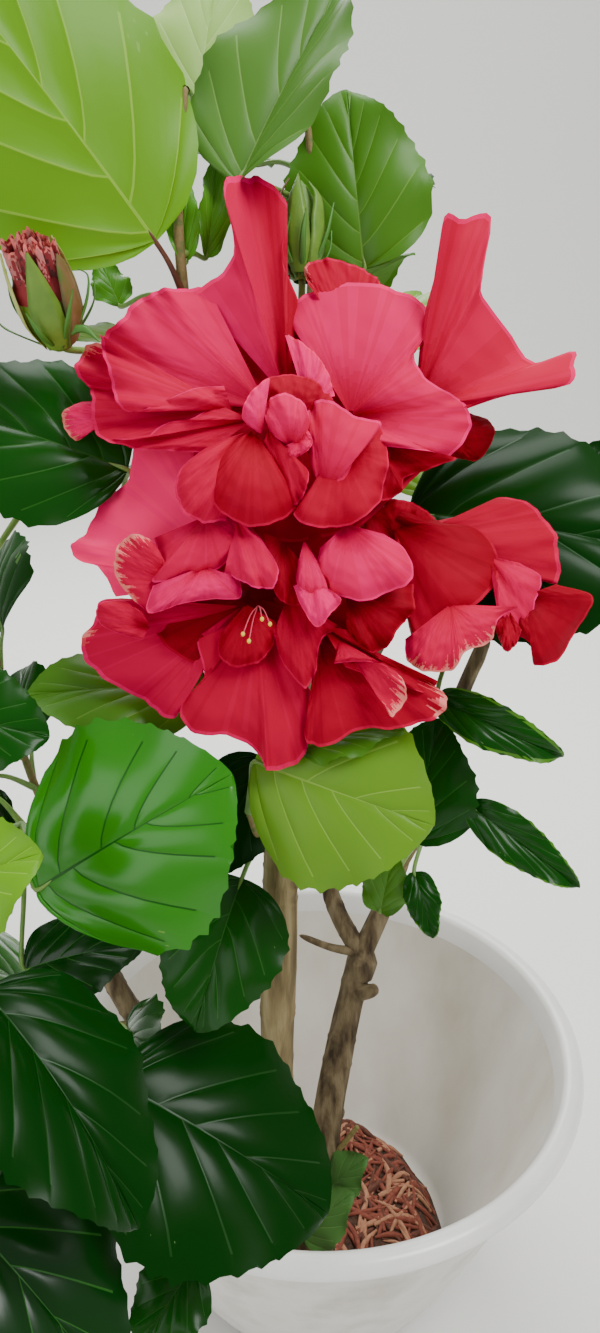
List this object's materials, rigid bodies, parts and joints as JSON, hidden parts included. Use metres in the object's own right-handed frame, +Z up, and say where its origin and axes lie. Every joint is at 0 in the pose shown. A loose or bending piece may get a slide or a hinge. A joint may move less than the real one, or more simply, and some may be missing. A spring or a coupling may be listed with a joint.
{
  "type": "hibiscus shrub",
  "caption": "Young hibiscus shrub in a round white basin, with slender stems, broad toothed glossy leaves, green buds and large ruffled double red blooms.",
  "frame": {"origin": "centre of the pot's flat underside, on the floor", "axes": "+Z up; -Y towards the viewer of the picture, where the blooms face; +X to that viewer's right"},
  "size_m": [0.5106, 0.4781, 0.7781],
  "materials": {
    "pot": "white basin, satin outside and on its rim, stained and matt within",
    "soil": "dark soil under red-brown shredded bark",
    "bark": "matt grey-brown bark with fine furrows",
    "leaf": "glossy green leaf with sunken veins",
    "petal": "soft rose-red petal with fine rays",
    "bud": "satin green-brown calyx"
  },
  "bodies": {
    "root": {"pot": "pot", "soil": "soil", "stem_front": "bark", "stem_back": "bark", "stem_left": "bark", "stem_rear": "bark", "bough_upper_left": "bark", "bough_upper": "bark", "bough_right": "bark", "bough_back": "bark", "bough_rear_left": "bark", "bough_rear_right": "bark", "bloom_upper": "petal", "bloom_lower": "petal", "bloom_right": "petal", "bud_left": "bud", "bud_top": "bud", "leaves_top_left": "leaf", "leaves_left": "leaf", "leaves_top": "leaf", "leaves_right": "leaf", "leaves_low_right": "leaf", "leaves_centre": "leaf", "leaves_low_left": "leaf", "leaves_bottom_left": "leaf", "leaves_foot": "leaf", "leaves_far_left": "leaf", "leaves_back": "leaf", "leaves_rear": "leaf", "leaves_rear_left": "leaf", "leaves_rear_right": "leaf", "leaves_far_right": "leaf"}
  },
  "joints": []
}
